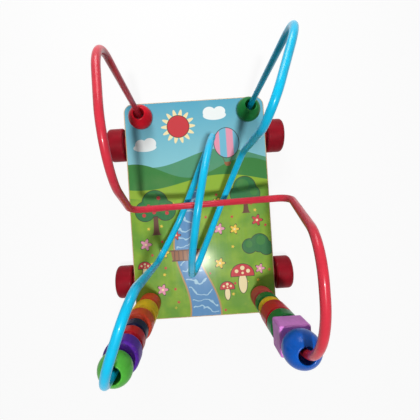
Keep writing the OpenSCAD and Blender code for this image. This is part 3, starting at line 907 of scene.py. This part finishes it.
def drilled_cube(size):
    """Cuts a round mouth in two opposite faces of a cube and joins the mouths by the bore."""
    mesh = bmesh.new()
    bmesh.ops.create_cube(mesh, size=size)
    outer_edges = mesh.edges[:]
    ends = [face for face in mesh.faces if abs(face.normal.z) > 0.5]
    border = size / 2 - mouth_frame_half
    bmesh.ops.inset_individual(mesh, faces=ends, thickness=border, use_even_offset=True)
    mouths = []
    for end in ends:
        height = end.calc_center_median().z
        frame_edges = end.edges[:]
        bmesh.ops.delete(mesh, geom=[end], context="FACES_ONLY")
        cut = bmesh.ops.subdivide_edges(mesh, edges=frame_edges, cuts=cube_side_cuts)
        cut_edges = only(bmesh.types.BMEdge, cut["geom_inner"] + cut["geom_split"])
        frame_edges = [edge for edge in dict.fromkeys(cut_edges) if edge.is_boundary]
        made = bmesh.ops.create_circle(
            mesh, segments=4 * (cube_side_cuts + 1), radius=bead_bore_r,
            matrix=Matrix.Translation((0, 0, height)) @ Matrix.Rotation(pi / 4, 4, "Z"),
        )
        mouth = edges_among(made["verts"])
        bmesh.ops.bridge_loops(mesh, edges=frame_edges + mouth)
        mouths.append(mouth)
    bmesh.ops.bridge_loops(mesh, edges=mouths[0] + mouths[1])
    bmesh.ops.recalc_face_normals(mesh, faces=mesh.faces)
    round_edges(mesh, [edge for edge in outer_edges if edge.is_valid], cube_edge_r, cube_edge_steps)
    for height in (-size / 2, size / 2):
        round_edges(mesh, ring_edges(mesh, bead_bore_r, height), mouth_edge_r, small_edge_steps)
    return mesh


lilac_paint = painted_wood("lilac_satin_paint", paint_colour(222, 134, 218), satin, gloss=0.06)
cube_place = set_along(middle_of("right_bead_6_lilac_cube"), right_leg)
finished_piece(
    drilled_cube(cube_size), "right_bead_6_lilac_cube_painted", cube_place, lilac_paint,
    "right_bead_6", "right_bead_6_lilac_cube",
)

# Studio: a plain white floor in even light, with a lamp above the near end and a broad fill opposite.
# The camera stands close above the middle of the board, as the photographer held it.
white = (1.0, 1.0, 1.0, 1.0)
floor_half = 3.0
floor_grey = (0.8, 0.8, 0.8, 1.0)
floor_roughness = 0.9
floor_glow = 0.88
world_light = 0.10
lamps = (
    ("main_lamp", (0.0, -0.115, 0.62), 0.03, 2.5),
    ("fill_lamp", (0.0, 0.36, 0.22), 0.20, 0.85),
)
camera_place = (-0.00095, -0.0099, 0.2659)
camera_roll = radians(-3.67)
sensor_w = 36.0
lens = 26.8
shift_across = 0.025
shift_up = 0.026
nearest_seen = 0.01


def greater(tree, first, second):
    return add_node(tree, "ShaderNodeMath", {0: first, 1: second}, operation="MAXIMUM").outputs[0]


def seen_rays(tree):
    """1 for rays that show the background itself: straight from the camera, mirrored or through glass."""
    rays = add_node(tree, "ShaderNodeLightPath").outputs
    straight_or_mirrored = greater(tree, rays["Is Camera Ray"], rays["Is Glossy Ray"])
    return greater(tree, straight_or_mirrored, rays["Is Transmission Ray"])


floor_mesh = bmesh.new()
bmesh.ops.create_grid(floor_mesh, x_segments=1, y_segments=1, size=floor_half)
floor_data = bpy.data.meshes.new("studio_floor")
floor_mesh.to_mesh(floor_data)
floor_mesh.free()
floor = bpy.data.objects.new("studio_floor", floor_data)
bpy.context.scene.collection.objects.link(floor)
floor_white, tree, finish = start_finish("floor_white")
finish.inputs["Base Color"].default_value = floor_grey
finish.inputs["Roughness"].default_value = floor_roughness
finish.inputs["Specular IOR Level"].default_value = 0.0
glow = add_node(tree, "ShaderNodeEmission", {"Color": white, "Strength": 1.0})
shown_glow = spread(tree, seen_rays(tree), 0.0, floor_glow)
mixed = add_node(tree, "ShaderNodeMixShader", {"Fac": shown_glow, 1: finish.outputs[0], 2: glow.outputs[0]})
tree.links.new(mixed.outputs[0], tree.nodes["Material Output"].inputs["Surface"])
floor_data.materials.append(floor_white)

world = bpy.data.worlds.new("studio_world")
bpy.context.scene.world = world
world.use_nodes = True
tree = world.node_tree
backdrop = tree.nodes["Background"]
backdrop.inputs["Color"].default_value = white
tree.links.new(spread(tree, seen_rays(tree), world_light, 1.0), backdrop.inputs["Strength"])

for name, spot, size, energy in lamps:
    lamp_data = bpy.data.lights.new(name, "AREA")
    lamp_data.shape = "DISK"
    lamp_data.size = size
    lamp_data.energy = energy
    lamp = bpy.data.objects.new(name, lamp_data)
    lamp.location = spot
    to_deck = Vector((0.0, 0.0, deck_z)) - lamp.location
    lamp.rotation_euler = to_deck.to_track_quat("-Z", "Y").to_euler()
    bpy.context.scene.collection.objects.link(lamp)

camera_data = bpy.data.cameras.new("photo_camera")
camera_data.sensor_width = sensor_w
camera_data.lens = lens
camera_data.shift_x = shift_across
camera_data.shift_y = shift_up
camera_data.clip_start = nearest_seen
camera = bpy.data.objects.new("photo_camera", camera_data)
camera.location = camera_place
camera.rotation_euler = (0.0, 0.0, camera_roll)
bpy.context.scene.collection.objects.link(camera)
bpy.context.scene.camera = camera
bpy.context.scene.view_settings.view_transform = "Standard"
